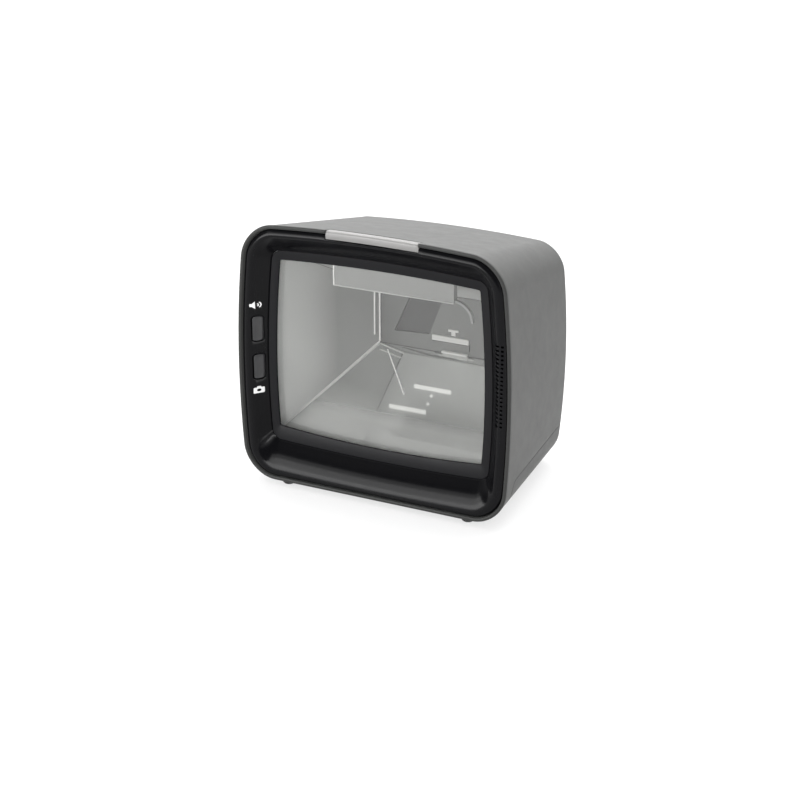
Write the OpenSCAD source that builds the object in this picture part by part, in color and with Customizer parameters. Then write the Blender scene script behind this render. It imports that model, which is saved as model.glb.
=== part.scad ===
// Vertical presentation barcode scanner: a tapered shell with a barrel-shaped
// front, a recessed scan window, a mirrored optical chamber behind it, a status
// light bar, two push buttons, a speaker and the boards.
//
// Every module draws in local axes: X to the viewer's right, Y back from the
// bezel's outer edge, Z up from the shell's underside. seated() moves the whole
// assembly so that the feet stand on Z = 0 with the origin under the middle.

/* [Shell] */
// Overall width at the front rim
body_w = 152; // [146:1:160]
// Overall depth, front rim to rear face
body_d = 98; // [94:1:106]
// Height of the shell at its front, without the feet
shell_h = 139.3; // [136:0.1:146]
// Width of the shell where the rear edge starts to round
rear_w = 134; // [130:1:140]
// Height of the shell at the same place
rear_h = 121; // [118:1:126]
// Corner radius at the front
front_r = 17.5; // [15:0.5:20]
// Corner radius at the rear
rear_r = 14.5; // [12:0.5:16]
// Wall thickness of the moulded shells
wall = 2; // [1.8:0.1:2.4]
// How far the front rim stands in front of the bezel's outer edge
rim_proud = 1.4; // [0.8:0.1:2]
// Depth over which the rear edge rounds off
rear_round = 6.1; // [5:0.1:7]

/* [Bezel and window] */
// Visible width of the scan window at half height
window_w = 116.6; // [112:0.1:118]
// Top edge of the window above the shell's underside
window_top = 118.9; // [116:0.1:120]
// Bottom edge of the window above the shell's underside
window_bot = 24.8; // [24:0.1:28]
// Depth of the window frame behind the bezel's outer edge
window_depth = 7; // [6:0.1:8]
// Width of the black frame beside the window
frame_w = 4.6; // [4:0.1:5.2]
// Thickness of the window
window_t = 2; // [1.8:0.1:2.2]

/* [Buttons and speaker] */
// Distance of the buttons from the middle plane
button_x = 66.05; // [65.8:0.05:66.6]
// Height of the volume button's centre
volume_z = 80.6; // [79:0.1:84]
// Height of the snapshot button's centre
snapshot_z = 60; // [59:0.1:64]
// Width of a button cap
button_w = 3.6; // [3.4:0.1:4.2]
// Height of a button cap
button_h = 13.1; // [11:0.1:13.4]
// Gap all round a button cap
button_gap = 0.45; // [0.3:0.05:0.5]
// Rows of slots in the speaker grille
grille_rows = 20; // [12:1:20]
// Distance between grille rows
grille_pitch = 2.15; // [2:0.05:2.2]
// Height of the middle of the grille
grille_z = 73.3; // [72:0.1:74]

/* [Optical chamber] */
// Half width of the chamber at its front
chamber_front = 60.9; // [60:0.1:61]
// Half width of the chamber at its rear
chamber_rear = 31.5; // [30:0.1:33]
// Where the chamber starts behind the bezel's edge
chamber_y0 = 11.7; // [11.7:0.1:12.2]
// Where the chamber ends
chamber_y1 = 70; // [66:0.5:71]
// Thickness of the mirrors
mirror_t = 1.6; // [1.4:0.1:1.7]

/* [Feet and fixings] */
// Height of the feet below the shell
foot_h = 3; // [2.5:0.1:4]
// Radius of the front feet
front_foot_r = 3.3; // [3:0.1:3.4]
// Radius of the rear feet
rear_foot_r = 5; // [4:0.1:6]
// Distance between the two threaded inserts in the base
insert_spacing = 70; // [60:1:76]
// Radius of the hole in each insert
insert_hole_r = 1.5; // [1.25:0.25:2]

/* [Hidden] */
$fn = 32;

// Steps in a corner and points along an edge of an outline
corner_steps = 6;
edge_steps = 6;
// Height about which the shell's sides bow outwards
bow_mid = 60;
// Sagitta rates of the bowed edges, per millimetre squared
side_bow_front = 0.00085;
side_bow_rear = 0.0011;
top_bow = 0.00057;
window_side_bow = 0.00095;
window_top_bow = 0.0005;
window_bot_bow = 0.0008;
window_r = 1;

rear_y = body_d - rim_proud - rear_round;
back_y = body_d - rim_proud;

// Bottom cover: height of its side walls, where it starts and its corner
cover_h = 20;
cover_y = 9.2;
cover_r = 5;
seam = 0.15;
cover_floor = 2.4;

// Frame opening and its lip in the bezel
groove_x = window_w / 2 + frame_w;
groove_top = window_top + frame_w + 0.7;
groove_bot = window_bot - frame_w - 2;
groove_r = 5;
groove_bow = 0.0004;
frame_t = 1.2;
seal_t = 0.5;
seal_y = window_depth + frame_t;
glass_y = seal_y + seal_t;
flange_y = glass_y + window_t;

// Chamber heights at the front and rear, and its wall angles
floor_z0 = 22.5;
floor_z1 = 57.5;
ceil_z0 = 121;
ceil_z1 = 89.5;
chamber_len = chamber_y1 - chamber_y0;
side_angle = atan((chamber_front - chamber_rear) / chamber_len);
floor_angle = atan((floor_z1 - floor_z0) / chamber_len);
ceil_angle = atan((ceil_z0 - ceil_z1) / chamber_len);
chassis_wall = 1.6;
mirror_gap = 0.25;

// Stack behind the buttons
flange_front = 9.7;
flange_back = 10.5;
plunger_end = 11.2;
switch_end = 13.2;
switch_pcb_t = 1;
plunger_r = 0.9;

// Camera axis
camera_x = -8;
camera_z = 76;
imager_y = 81.5;
barrel_y = 72.6;
barrel_r = 4.5;
lens_r = 3.15;

// Main board
board_z = 5;
board_t = 1.6;
board_top = board_z + board_t;
board_hw = 44;
board_y0 = 30;
board_y1 = 86;
board_fix = [[-40, 34], [40, 34], [-40, 66], [40, 66]];
socket_end = 88.5;
host_x = 0;
aux_x = 19;

// Screw posts that join the cover to the housing, and the chassis ears
post_fix = [[-56, 30], [56, 30], [-50, 76], [50, 76]];
post_r = 3.5;
post_bore = 1.5;
boss_h = 6.5;
standoff_r = 3;
screw_head_r = 2.9;
screw_head_z = 15;
ear_low = [66.5, 24.5];
ear_high = [36, 128];
ear_fix = [for (e = [ear_low, ear_high], s = [-1, 1]) [s * e.x, e.y]];
ear_r = 4;
head_room_r = 2.8;
insert_y = 21;
insert_r = 2.3;
insert_len = 5;
front_foot_pos = [51.4, 5.5];
rear_foot_pos = [36, 84];
foot_recess = 0.6;

// Half length of the status light and its middle
light_hw = 25.2;
light_x = 1;

module seated() translate([0, rim_proud - body_d / 2, foot_h]) children();

// ---- outlines and lofts ------------------------------------------------

// Rounded rectangle from -hw to hw and bot to top, as four corners and the
// points between them, running anticlockwise in X and Z
function corner(cx, cz, r, a0) =
  [for (i = [0:corner_steps]) let (a = a0 + 90 * i / corner_steps)
    [cx + r * cos(a), cz + r * sin(a)]];
function between(a, b) =
  [for (i = [1:edge_steps]) a + (b - a) * i / (edge_steps + 1)];
function rounded(hw, top, bot, r) = let (
    x = hw - r,
    hi = top - r,
    lo = bot + r
  ) concat(
    corner(x, hi, r, 0), between([x, top], [-x, top]),
    corner(-x, hi, r, 90), between([-hw, hi], [-hw, lo]),
    corner(-x, lo, r, 180), between([-x, bot], [x, bot]),
    corner(x, lo, r, 270), between([hw, lo], [hw, hi]));

// The same outline with its sides, top and bottom bowed outwards
function bowed(hw, top, bot, r, side, up, down) =
  [for (p = rounded(hw, top, bot, r)) let (dz = p.y - bow_mid) [
    p.x - side * dz * dz * p.x / hw,
    p.y - up * p.x * p.x * max(0, dz) / (top - bow_mid)
        + down * p.x * p.x * max(0, -dz) / (bow_mid - bot)]];

function raise(outline, y) = [for (p = outline) [p.x, y, p.y]];

// Triangles between neighbouring rows of n points each
function band(i, k, n) = [for (j = [0:n - 1]) let (
    a = i * n + j,
    b = i * n + (j + 1) % n,
    c = k * n + j,
    d = k * n + (j + 1) % n
  ) each [[a, b, c], [b, d, c]]];

// Solid through a list of rows, closed by its first and last rows
module loft(rows) {
  n = len(rows[0]);
  m = len(rows);
  polyhedron(
    points = [for (row = rows) each row],
    faces = concat(
      [for (i = [0:m - 2]) each band(i, i + 1, n)],
      [[for (j = [n - 1:-1:0]) j]],
      [[for (j = [0:n - 1]) (m - 1) * n + j]]));
}

// Ring through a list of rows that run inwards over its front and back out
// behind, whose last row joins its first
module ring(rows) {
  n = len(rows[0]);
  m = len(rows);
  polyhedron(
    points = [for (row = rows) each row],
    faces = [for (i = [0:m - 1]) each band((i + 1) % m, i, n)]);
}

// One section of the shell at depth y, moved in by inset
function shell_row(y, inset) = let (
    s = min(1, max(0, (y + rim_proud) / (rear_y + rim_proud))),
    side = side_bow_front + (side_bow_rear - side_bow_front) * s,
    r = front_r + (rear_r - front_r) * s
  ) bowed(
    (body_w + (rear_w - body_w) * s) / 2 - inset,
    shell_h + (rear_h - shell_h) * s - inset,
    inset, max(2, r - inset), side, top_bow, 0);

// Inset of the outer skin along the rounded rear edge
function rear_inset(t) = rear_round * 1.5 * (1 - sqrt(1 - t * t));

module shell_outer() {
  rounds = [0.35, 0.6, 0.8, 0.93, 0.99];
  loft(concat(
    [raise(shell_row(-rim_proud, 0.7), -rim_proud),
     raise(shell_row(0.7 - rim_proud, 0), 0.7 - rim_proud),
     raise(shell_row(rear_y / 2, 0), rear_y / 2),
     raise(shell_row(rear_y, 0), rear_y)],
    [for (t = rounds)
      raise(shell_row(rear_y, rear_inset(t)), rear_y + rear_round * t)],
    [raise(shell_row(rear_y, rear_round * 1.5 + 4), back_y)]));
}

module shell_inner() loft([
  raise(shell_row(-rim_proud, wall), -rim_proud - 0.5),
  raise(shell_row(0, wall), 0),
  raise(shell_row(rear_y / 2, wall), rear_y / 2),
  raise(shell_row(rear_y - 1, wall), rear_y - 1),
  raise(shell_row(rear_y, wall + 2.5), rear_y + rear_round - wall - 1),
  raise(shell_row(rear_y, wall + 9), back_y - wall)]);

// Side view of the bottom cover, grown by grow
module cover_profile(grow) rotate([90, 0, 90])
  translate([0, 0, -body_w / 2 - 1]) linear_extrude(body_w + 2) {
    translate([cover_y - grow, -1])
      square([body_d, cover_h - cover_r + 1 + grow]);
    translate([cover_y - grow + cover_r, -1])
      square([body_d - cover_r, cover_h + 1 + grow]);
    translate([cover_y - grow + cover_r, cover_h - cover_r + grow])
      circle(cover_r);
  }

// Cylinder along Y from y0 to y1
module rod_y(r, y0, y1) translate([0, y0, 0])
  rotate([-90, 0, 0]) cylinder(r = r, h = y1 - y0);

// Block between two opposite corners
module block(a, b) translate(a) cube(b - a);

// ---- shells ------------------------------------------------------------

module light_bar_room(grow) translate([light_x, 0, 0]) {
  block([-light_hw - grow, -3, 134 - grow], [light_hw + grow, 4 + grow, 141]);
  block([-light_hw - grow, 3.9 - grow, 129.2 - grow],
    [light_hw + grow, 5 + grow, 136.4]);
}

module rear_housing() color([0.36, 0.36, 0.37]) seated() {
  difference() {
    shell_outer();
    shell_inner();
    cover_profile(seam);
    light_bar_room(0.2);
    for (s = [-1, 1])
      translate([s * front_foot_pos.x, front_foot_pos.y, -1])
        cylinder(r = front_foot_r, h = 1 + foot_recess);
  }
  for (p = post_fix) {
    reach = body_w / 2 - (body_w - rear_w) / 2 * p.y / rear_y - wall - 0.8;
    difference() {
      union() {
        translate([p.x, p.y, cover_h + seam]) cylinder(r = post_r, h = boss_h);
        mirror([p.x < 0 ? 1 : 0, 0, 0])
          block([abs(p.x), p.y - 1, cover_h + seam],
            [reach, p.y + 1, cover_h + boss_h - 0.5]);
      }
      translate([p.x, p.y, cover_h - 1]) cylinder(r = post_bore, h = boss_h);
    }
  }
}

module bottom_cover() color([0.33, 0.33, 0.34]) seated() {
  difference() {
    union() {
      difference() {
        intersection() {
          shell_outer();
          cover_profile(0);
        }
        intersection() {
          shell_inner();
          block([-body_w, cover_y + wall, cover_floor],
            [body_w, body_d, cover_h + 1]);
        }
      }
      for (p = post_fix) translate([p.x, p.y, cover_floor - 1])
        cylinder(r = post_r, h = cover_h - cover_floor + 1);
      for (p = board_fix) translate([p.x, p.y, cover_floor - 1])
        cylinder(r = standoff_r, h = board_z - cover_floor + 1);
      for (s = [-1, 1])
        translate([s * insert_spacing / 2, insert_y, cover_floor - 1])
          cylinder(r = insert_r + 1.9, h = insert_len + 1);
    }
    for (p = post_fix) translate([p.x, p.y, -1]) {
      cylinder(r = post_bore + 0.1, h = cover_h + 2);
      cylinder(r = screw_head_r, h = screw_head_z + 1);
    }
    for (p = board_fix) translate([p.x, p.y, 1.2]) cylinder(r = 1.2, h = 6);
    for (s = [-1, 1]) {
      translate([s * insert_spacing / 2, insert_y, -1])
        cylinder(r = insert_r, h = insert_len + 1);
      translate([s * rear_foot_pos.x, rear_foot_pos.y, -1])
        cylinder(r = rear_foot_r, h = 1 + foot_recess);
    }
    block([host_x - 11, 86.5, board_top - 1.2], [aux_x + 10, body_d, cover_h + 1]);
  }
}

// ---- bezel and window --------------------------------------------------

// Rows of the bezel from its outer edge over the crest to the window frame
function bezel_row(y, x, top, bot, r, down) =
  raise(bowed(x, top, bot, r, window_side_bow
      + (side_bow_front - window_side_bow) * (x - groove_x)
        / (body_w / 2 - wall - groove_x),
    top_bow, down), y);

// Edge of the opening that holds the window frame, grown by grow
function groove_row(y, grow) = bezel_row(y, groove_x + grow, groove_top + grow,
  groove_bot - grow, groove_r + grow, groove_bow);

rim_in = body_w / 2 - wall - seam;
rim_top = shell_h - wall - seam;
rim_bot = wall + seam;

module bezel_skin() ring([
  raise(shell_row(1, wall + seam), 1),
  raise(shell_row(-0.2, wall + seam + 0.5), -0.2),
  bezel_row(-1, rim_in - 2, rim_top - 2.2, rim_bot + 1, 14, 0),
  bezel_row(-1.1, rim_in - 4, rim_top - 3.8, rim_bot + 1.7, 12.5, 0.0001),
  bezel_row(-0.2, rim_in - 5.6, rim_top - 5.2, rim_bot + 5, 11, 0.0002),
  bezel_row(2.4, rim_in - 7.6, rim_top - 8.4, rim_bot + 10.2, 8.5, 0.0003),
  groove_row(window_depth, 0),
  groove_row(seal_y, 0),
  groove_row(seal_y, 1.2),
  bezel_row(3.4, rim_in - 4.6, rim_top - 5, rim_bot + 5, 12.5, 0.0001),
  raise(shell_row(3.4, wall + seam), 3.4)]);

button_r = 1.3;
module button_slot(z, grow) translate([-button_x, -5, z]) rotate([-90, 0, 0])
  linear_extrude(20) rounded_rect(button_w + 2 * grow, button_h + 2 * grow, button_r + grow);

// Rectangle with rounded corners, centred, made of true arcs
module rounded_rect(w, h, r) {
  square([w - 2 * r, h], center = true);
  square([w, h - 2 * r], center = true);
  for (sx = [-1, 1], sz = [-1, 1])
    translate([sx * (w / 2 - r), sz * (h / 2 - r)]) circle(r);
}

// Inner edge and width of the grille's two columns, and the height of a slot
grille_columns = [[66.6, 2.6], [70.1, 1.4]];
slot_h = 1;
module grille_slots() for (i = [0:grille_rows - 1], c = grille_columns)
  translate([c[0], -5, grille_z + (i - (grille_rows - 1) / 2) * grille_pitch - slot_h / 2])
    cube([c[1], 20, slot_h]);

module front_bezel() color([0.04, 0.04, 0.045]) seated() difference() {
  union() {
    bezel_skin();
    for (p = ear_fix) translate([p.x, 0, p.y]) rod_y(head_room_r, 6.4, flange_y);
  }
  light_bar_room(0.2);
  button_slot(volume_z, button_gap);
  button_slot(snapshot_z, button_gap);
  grille_slots();
  for (p = ear_fix) translate([p.x, 0, p.y]) rod_y(1.15, 7, flange_y + 1);
}

module frame_ring(y0, y1, inner_grow) ring([
  groove_row(y0, -seam),
  raise(window_outline(inner_grow), y0 + 0.2),
  raise(window_outline(inner_grow), y1),
  groove_row(y1, -seam)]);

function window_outline(grow) =
  bowed(window_w / 2 + grow, window_top + grow, window_bot - grow, window_r + grow,
    window_side_bow, window_top_bow, window_bot_bow);

module window_frame() color([0.07, 0.07, 0.075]) seated()
  frame_ring(window_depth + 0.1, seal_y, 0);

// How far the seal's two edges and the window reach beyond the visible outline
seal_in = 2.3;
seal_out = 3.4;
glass_out = 3.6;

module window_seal() color([0.02, 0.02, 0.02]) seated() ring([
  raise(window_outline(seal_out), seal_y),
  raise(window_outline(seal_in), seal_y),
  raise(window_outline(seal_in), glass_y),
  raise(window_outline(seal_out), glass_y)]);

module scan_window() color([0.8, 0.88, 0.9, 0.35]) seated() loft([
  raise(window_outline(glass_out), glass_y), raise(window_outline(glass_out), flange_y)]);

// ---- status light ------------------------------------------------------

// Section of the light bar in Y and Z, with a foot that faces the LEDs
light_section = [
  [-0.7, 134.4], [-0.7, 137.4], [-0.3, 138.2], [0.5, 138.6], [3.9, 138.1],
  [3.9, 136.1], [4.9, 135.9], [4.9, 129.6], [3.95, 129.6], [3.95, 134.4]];

module status_light_bar() color([0.93, 0.91, 0.89]) seated() {
  stations = 13;
  loft([for (i = [0:stations - 1])
    let (x = light_x + light_hw * (2 * i / (stations - 1) - 1))
      [for (p = light_section) [x, p.x, p.y - top_bow * x * x]]]);
}

// Board with its LEDs in front of it, facing the light bar's foot
led_y = 5.5;
led_back = 6.8;
led_pitch = 9;
led_hw = 1.4;
led_z = [130.6, 133.2];
led_board_t = 1;

module status_led_board() color([0.05, 0.3, 0.16]) seated()
  block([light_x - 24, led_back, led_z[0] - led_hw],
    [light_x + 24, led_back + led_board_t, led_z[1] + 1]);

module status_leds() color([0.95, 0.95, 0.85]) seated()
  for (i = [-2:2]) translate([light_x + i * led_pitch, 0, 0])
    block([-led_hw, led_y, led_z[0]], [led_hw, led_back, led_z[1]]);

// ---- buttons -----------------------------------------------------------

// Where the bezel's inward slope crosses Y = 0 at mid height, and how steeply it
// falls back from there
slope_start = 68;
slope_fall = 1.32;
cap_proud = 0.1;
flange_side = 0.8;

// Cap whose front follows the bezel's slope, with a retaining flange behind it
module button_cap(z) {
  inner = button_x - button_w / 2;
  outer = button_x + button_w / 2;
  edge = slope_start - (side_bow_front + window_side_bow) / 2 * pow(z - bow_mid, 2);
  function face(x) = (edge - x) * slope_fall - cap_proud;
  intersection() {
    button_slot(z, 0);
    translate([0, 0, z - button_h]) linear_extrude(2 * button_h) polygon([
      [-outer, face(outer)], [-inner, face(inner)],
      [-inner, flange_front + 0.4], [-outer, flange_front + 0.4]]);
  }
  block([-outer - flange_side, flange_front, z - button_h / 2 - flange_side],
    [-inner + flange_side, flange_back, z + button_h / 2 + flange_side]);
}

module volume_button() color([0.22, 0.22, 0.23]) seated() button_cap(volume_z);
module snapshot_button() color([0.22, 0.22, 0.23]) seated() button_cap(snapshot_z);

module switch_plunger(z) translate([-button_x, 0, z])
  rod_y(plunger_r, flange_back, plunger_end + 0.4);

module volume_switch_plunger() color([0.75, 0.2, 0.15]) seated()
  switch_plunger(volume_z);
module snapshot_switch_plunger() color([0.75, 0.2, 0.15]) seated()
  switch_plunger(snapshot_z);

// Half width of a switch, and the end of the room for its plunger
switch_hw = 2.6;
plunger_room = 12.8;

module switch_bodies() color([0.6, 0.6, 0.6]) seated()
  for (z = [volume_z, snapshot_z]) difference() {
    block([-button_x - switch_hw, plunger_end, z - switch_hw],
      [-button_x + switch_hw, switch_end, z + switch_hw]);
    translate([-button_x, 0, z])
      rod_y(plunger_r + 0.15, plunger_end - 1, plunger_room);
  }

module switch_board() color([0.05, 0.3, 0.16]) seated()
  block([-70.8, switch_end, 48], [-64.2, switch_end + switch_pcb_t, 94]);

// ---- speaker -----------------------------------------------------------

speaker_x = [64.2, 70.8];
speaker_z = [50.5, 94.5];
module speaker_box(y0, y1, inset) block(
  [speaker_x[0] + inset, y0, speaker_z[0] + inset],
  [speaker_x[1] - inset, y1, speaker_z[1] - inset]);

module speaker_seal() color([0.1, 0.1, 0.1]) seated() difference() {
  speaker_box(9.7, 10.6, 0);
  speaker_box(9, 11, 1.2);
}
module speaker_frame() color([0.2, 0.2, 0.2]) seated() difference() {
  speaker_box(10.6, 16, 0);
  speaker_box(10, 14.8, 1.2);
  block([65.7, 14, 60], [69.3, 17, 85]);
}
module speaker_cone() color([0.3, 0.28, 0.26]) seated() {
  speaker_box(11.6, 12, 1.25);
  block([65.8, 12, 62], [69.2, 12.6, 83]);
}
module speaker_magnet() color([0.55, 0.55, 0.57]) seated()
  block([65.75, 13.4, 60.05], [69.25, 18, 84.95]);

// ---- optical chamber ---------------------------------------------------

// Chamber frustum grown by off all round, from y0 to y1
module frustum(off, y0, y1) {
  function half(y) = chamber_front - (y - chamber_y0) * tan(side_angle)
    + off / cos(side_angle);
  function low(y) = floor_z0 + (y - chamber_y0) * tan(floor_angle)
    - off / cos(floor_angle);
  function high(y) = ceil_z0 - (y - chamber_y0) * tan(ceil_angle)
    + off / cos(ceil_angle);
  loft([for (y = [y0, y1]) [
    [half(y), y, low(y)], [half(y), y, high(y)],
    [-half(y), y, high(y)], [-half(y), y, low(y)]]]);
}

module optical_chassis() color([0.16, 0.16, 0.17]) seated() difference() {
  union() {
    frustum(mirror_t + chassis_wall + 0.1, chamber_y0 - 0.3, chamber_y1);
    loft([raise(window_outline(4), flange_y),
      raise(window_outline(4), chamber_y0)]);
    for (p = ear_fix) translate([p.x, 0, p.y]) rod_y(ear_r, flange_y, chamber_y0);
    for (s = [-1, 1]) {
      block([s * 58 - 9, flange_y, ear_low.y - 3], [s * 58 + 9, chamber_y0, ear_low.y + 3]);
      block([s * ear_high.x - 3, flange_y, 118], [s * ear_high.x + 3, chamber_y0, ear_high.y]);
    }
    // Rear wall, and the tabs behind the switch board and the speaker
    block([-36, chamber_y1 - 0.25, 53], [36, chamber_y1 + 2.5, 94]);
    block([-65.6, switch_end + switch_pcb_t, 66], [-61.9, switch_end + 2.5, 76]);
    block([61.3, 16, 66], [65.6, 17.5, 78]);
  }
  frustum(mirror_t + 0.1, chamber_y0 - 4, chamber_y1 + 1.2);
  block([-chamber_rear, chamber_y1 - 4, floor_z1],
    [chamber_rear, chamber_y1 + 3, ceil_z1]);
  for (p = ear_fix) translate([p.x, 0, p.y]) {
    rod_y(1.5, 10, 20);
    rod_y(head_room_r, chamber_y0, 20);
  }
  // Room for the switch board and the speaker, and an opening over the
  // illumination board
  for (s = [-1, 1]) block([s * 69 - 5.9, 10, 46], [s * 69 + 5.9, 14.4, 98]);
  block([-36, 36, 92], [31, 58, 130]);
}

// Local planes of the chamber's walls: X across, Y along the wall, +Z outwards
module on_ceiling() translate([0, chamber_y0, ceil_z0])
  rotate([-ceil_angle, 0, 0]) children();
module on_floor() translate([0, chamber_y0, floor_z0])
  rotate([floor_angle, 0, 0]) mirror([0, 0, 1]) children();

module wall_plate(angle) {
  along = chamber_len / cos(angle);
  linear_extrude(mirror_t) polygon([
    [-chamber_front + mirror_gap, 0.3], [chamber_front - mirror_gap, 0.3],
    [chamber_rear - mirror_gap, along - 0.3],
    [-chamber_rear + mirror_gap, along - 0.3]]);
}

module side_plate() translate([chamber_front, chamber_y0, 0])
  rotate([0, 0, side_angle]) rotate([90, 0, 90]) {
    along = chamber_len / cos(side_angle);
    linear_extrude(mirror_t) polygon([
      [0.3, floor_z0 + mirror_gap], [along - 0.3, floor_z1 + mirror_gap],
      [along - 0.3, ceil_z1 - mirror_gap], [0.3, ceil_z0 - mirror_gap]]);
  }

module right_mirror() color([0.8, 0.82, 0.82]) seated() side_plate();
module left_mirror() color([0.8, 0.82, 0.82]) seated()
  mirror([1, 0, 0]) side_plate();
module lower_mirror() color([0.8, 0.82, 0.82]) seated()
  on_floor() wall_plate(floor_angle);

// Lit strips in the ceiling: centre X, distance along the wall and length
strips = [[-13.5, 47.4, 22.4], [-29, 32.8, 22.6]];
strip_w = 2.2;
// Round marker lamps between the strips: X and distance along the wall
lamps = [[-14.1, 43.3], [-16.3, 38.1]];
lamp_r = 0.8;
// Lit marks on the rear wall: left, right, bottom, top, and how far they reach
// in front of its face and behind it
marks = [[0, 21, 64, 66.8, 0.8, 2], [6, 20.4, 57.8, 58.8, 1.8, 0],
  [9.4, 15.2, 70, 71.1, 0.8, 0], [11.2, 13.5, 67.9, 70.5, 0.8, 0]];

module ceiling_panel() color([0.62, 0.63, 0.63]) seated() on_ceiling()
  difference() {
    wall_plate(ceil_angle);
    for (s = strips) translate([s.x - s.z / 2 - 0.1, s.y - strip_w / 2 - 0.1, -1])
      cube([s.z + 0.2, strip_w + 0.2, mirror_t + 2]);
  }

module light_diffusers() color([0.96, 0.96, 0.94]) seated() {
  on_ceiling() for (s = strips)
    translate([s.x - s.z / 2, s.y - strip_w / 2, -0.4])
      cube([s.z, strip_w, mirror_t + 0.4]);
  on_ceiling() for (p = lamps) translate([p.x, p.y, -0.5]) cylinder(r = lamp_r, h = 0.5);
  for (m = marks) block([m[0], chamber_y1 - m[4], m[2]], [m[1], chamber_y1 + m[5], m[3]]);
}

module illumination_board() color([0.05, 0.3, 0.16]) seated() on_ceiling()
  translate([-38, 27, mirror_t + 1.8]) cube([72, 28, 1.2]);

strip_led_w = 2.4;
module illumination_leds() color([0.95, 0.93, 0.7]) seated() on_ceiling()
  for (s = strips, i = [-1, 0, 1])
    translate([s.x + i * s.z / 4 - strip_led_w / 2, s.y - strip_led_w / 2, mirror_t + 0.4])
      cube([strip_led_w, strip_led_w, 1.4]);

function ceiling_at(y) = ceil_z0 - (y - chamber_y0) * tan(ceil_angle) - 0.02;

// Bar across the chamber's roof, with a curved finger at its right end
rail_hw = 33.5;
rail_y = [24, 28];
rail_z = 102.4;
finger_r = 10.5;
module upper_light_rail() color([0.7, 0.71, 0.7]) seated() {
  rotate([90, 0, 90]) translate([0, 0, -rail_hw]) linear_extrude(2 * rail_hw) polygon([
    [rail_y[0], rail_z], [rail_y[1], rail_z],
    [rail_y[1], ceiling_at(rail_y[1])], [rail_y[0], ceiling_at(rail_y[0])]]);
  translate([rail_hw - 0.5, 27, 93.2]) rotate([90, 0, 0]) linear_extrude(2)
    intersection() {
      difference() {
        circle(finger_r);
        circle(finger_r - 1.2);
      }
      square(finger_r + 1);
    }
}

// Rear wall of the chamber with a slanted camera opening, a strip slot and the
// posts that carry the imager board
panel_t = 2;
camera_posts = [[-19, 62.6], [-2, 62.6], [-19, 87.6], [3, 87.6]];
opening = [[-22.5, 65.5], [-2, 66.5], [5.5, 86], [-13.3, 86]];
module camera_panel() color([0.5, 0.51, 0.51]) seated() difference() {
  union() {
    block([-chamber_rear + 0.15, chamber_y1, floor_z1 + 0.15],
      [chamber_rear - 0.15, chamber_y1 + panel_t, ceil_z1 - 0.15]);
    for (p = camera_posts) translate([p.x, 0, p.y]) rod_y(1.3, chamber_y1 + 1, imager_y);
    block([0, chamber_y1 - 0.6, 60.5], [21.5, chamber_y1 + 0.2, 63.6]);
  }
  translate([0, chamber_y1 + 3, 0]) rotate([90, 0, 0]) linear_extrude(6) polygon(opening);
  block([marks[0][0] - 0.1, chamber_y1 - 1, marks[0][2] - 0.1],
    [marks[0][1] + 0.1, chamber_y1 + 3, marks[0][3] + 0.1]);
}

// Grey filter plate that fills the slanted opening
module camera_filter() color([0.3, 0.31, 0.31]) seated() {
  middle = [camera_x, camera_z];
  translate([0, chamber_y1 + 1.4, 0]) rotate([90, 0, 0]) linear_extrude(0.8)
    polygon([for (p = opening) middle + (p - middle) * 0.99]);
}

// ---- camera ------------------------------------------------------------

module at_camera() translate([camera_x, 0, camera_z]) children();
module lens_holder() color([0.08, 0.08, 0.08]) seated() at_camera() difference() {
  block([-7, 75, -7], [7, imager_y, 7]);
  rod_y(barrel_r + 0.05, 70, 79);
  block([-4, 78, -4], [4, 82, 4]);
}
module lens_barrel() color([0.12, 0.12, 0.12]) seated() at_camera() difference() {
  union() {
    rod_y(barrel_r, barrel_y + 0.9, 78.9);
    rod_y(barrel_r + 1.1, barrel_y, barrel_y + 2);
  }
  rod_y(lens_r + 0.05, 72, 80);
}
module camera_lens() color([0.5, 0.55, 0.7]) seated() at_camera()
  rod_y(lens_r, barrel_y + 0.8, barrel_y + 3.8);
module image_sensor() color([0.25, 0.3, 0.35]) seated() at_camera()
  block([-3.6, imager_y - 1.3, -3.6], [3.6, imager_y, 3.6]);
module imager_board() color([0.05, 0.3, 0.16]) seated() at_camera()
  block([-13, imager_y, -15.5], [13, imager_y + 1.2, 13.5]);

// ---- electronics -------------------------------------------------------

module main_board() color([0.05, 0.3, 0.16]) seated() difference() {
  block([-board_hw, board_y0, board_z], [board_hw, board_y1, board_top]);
  for (p = board_fix) translate([p.x, p.y, 0]) cylinder(r = 1.5, h = 20);
}

// Drawn steel can over the processor
shield_t = 0.4;
module processor_shield() color([0.75, 0.76, 0.78]) seated() difference() {
  block([-30, 36, board_top], [0, 62, board_top + 4]);
  block([shield_t - 30, 36 + shield_t, board_top - 1],
    [-shield_t, 62 - shield_t, board_top + 4 - shield_t]);
}

// Chips: left, front, right, back and height
chips = [[-22, 42, -8, 56, 1.6], [8, 36, 20, 48, 1.4], [8, 54, 16, 62, 1.4],
  [24, 52, 32, 57, 1.6], [24, 60, 32, 65, 1.6]];
module board_chips() color([0.05, 0.05, 0.06]) seated()
  for (c = chips) block([c[0], c[1], board_top], [c[2], c[3], board_top + c[4]]);

module board_capacitors() color([0.7, 0.7, 0.72]) seated()
  for (x = [26, 34], y = [40, 47]) translate([x, y, board_top])
    cylinder(r = 2.6, h = 6.5);

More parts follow.
